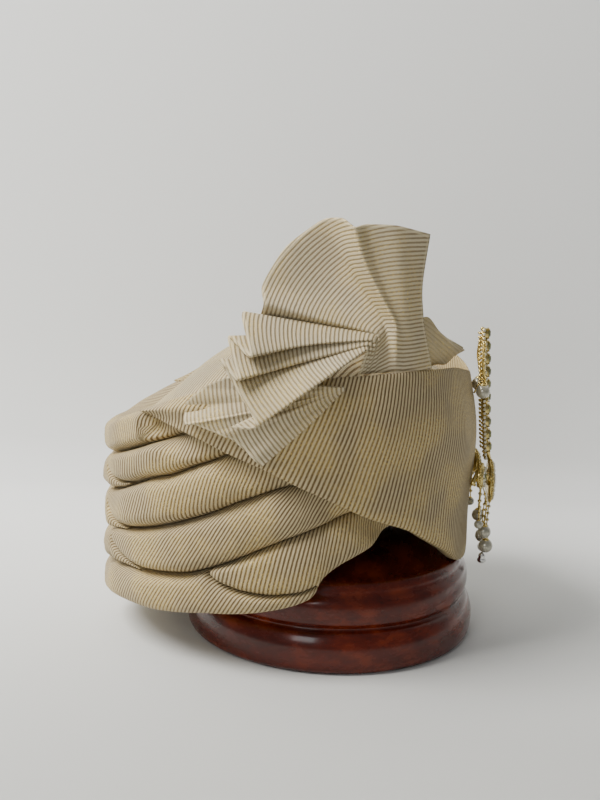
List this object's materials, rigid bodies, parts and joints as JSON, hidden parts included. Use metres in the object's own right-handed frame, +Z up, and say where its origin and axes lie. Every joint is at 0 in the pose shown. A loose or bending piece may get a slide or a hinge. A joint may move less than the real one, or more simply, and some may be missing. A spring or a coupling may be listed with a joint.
{
  "type": "tied turban pagri on a turned wooden stand",
  "caption": "Ready-tied ribbed cloth turban with padded rolls, a broad front band, a pleated fan and a hanging front brooch, on a low turned wooden stand.",
  "frame": {"origin": "centre of the stand's underside, on the surface that it stands on", "axes": "+X to the turban's front, where the brooch hangs; +Y to the wearer's left; +Z up"},
  "size_m": [0.2765, 0.26, 0.293],
  "materials": {
    "varnished_wood": "gloss varnish",
    "tissue_cloth": "fine ribs with metallic thread",
    "gold_metal": "polished",
    "olive_stone": "cut and polished",
    "clear_stone": "cut and polished",
    "pearl": "pearl lustre",
    "silver_metal": "polished"
  },
  "bodies": {
    "root": {"stand_base": "varnished_wood", "stand_post": "varnished_wood", "stand_head": "varnished_wood", "crown": "tissue_cloth", "front_band": "tissue_cloth", "roll_1": "tissue_cloth", "roll_2_right": "tissue_cloth", "roll_2_left": "tissue_cloth", "roll_3_right": "tissue_cloth", "roll_3_left": "tissue_cloth", "roll_4_right": "tissue_cloth", "roll_4_left": "tissue_cloth", "roll_5_right": "tissue_cloth", "roll_5_left": "tissue_cloth", "roll_6": "tissue_cloth", "fan": "tissue_cloth", "fan_lower_leaf": "tissue_cloth", "front_fold": "tissue_cloth", "brooch_frame": "gold_metal", "brooch_pin": "gold_metal", "brooch_plume_stones": "olive_stone", "brooch_centre_stone": "clear_stone", "pearl_upper_right": "pearl", "pearl_upper_left": "pearl", "pearl_middle_right": "pearl", "pearl_middle_left": "pearl", "pearl_outer_right": "pearl", "pearl_outer_left": "pearl", "pearl_end_right": "pearl", "pearl_end_left": "pearl", "pearl_centre_top": "pearl", "pearl_centre_middle": "pearl", "pearl_centre_low": "pearl", "brooch_drop": "silver_metal"}
  },
  "joints": []
}
